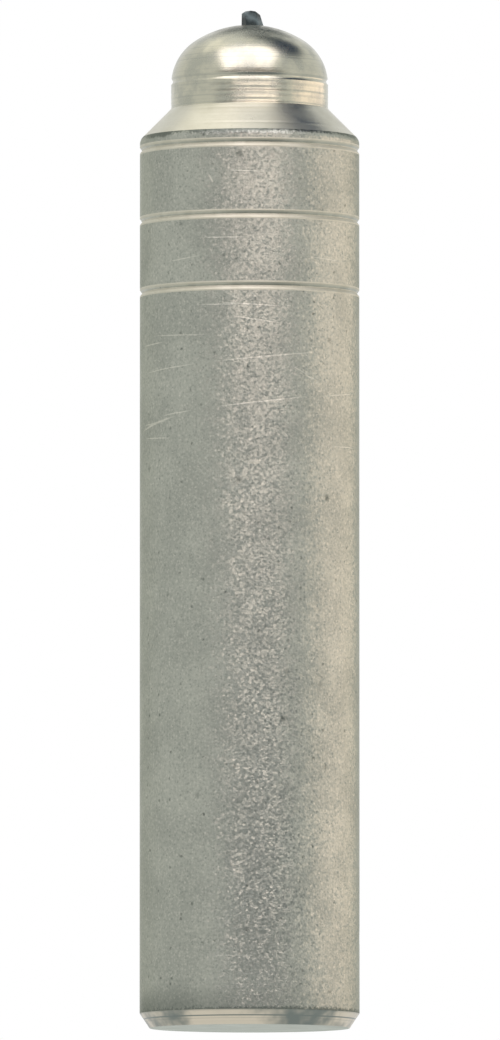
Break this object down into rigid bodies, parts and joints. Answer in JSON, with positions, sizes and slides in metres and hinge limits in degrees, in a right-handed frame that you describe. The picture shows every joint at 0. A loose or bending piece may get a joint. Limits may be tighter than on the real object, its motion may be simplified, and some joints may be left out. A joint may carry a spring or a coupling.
{
  "type": "diamond wheel dresser",
  "caption": "Round steel shank with ring grooves, a coned neck and a domed nose that holds one brazed diamond point, for truing grinding wheels.",
  "frame": {"origin": "middle of the flat end face, where the tool stands", "axes": "+Z along the tool's axis from the flat end to the diamond, -Y towards the viewer of the picture, +X to the right"},
  "size_m": [0.0111, 0.0112, 0.0515],
  "materials": {
    "turned_steel": "tumbled bar steel, turned bright at the nose",
    "braze": "silver braze, turned flush with the dome",
    "diamond": "dark industrial diamond with worn, glossy faces"
  },
  "bodies": {
    "root": {"shank": "turned_steel", "setting": "braze", "diamond": "diamond"}
  },
  "joints": []
}
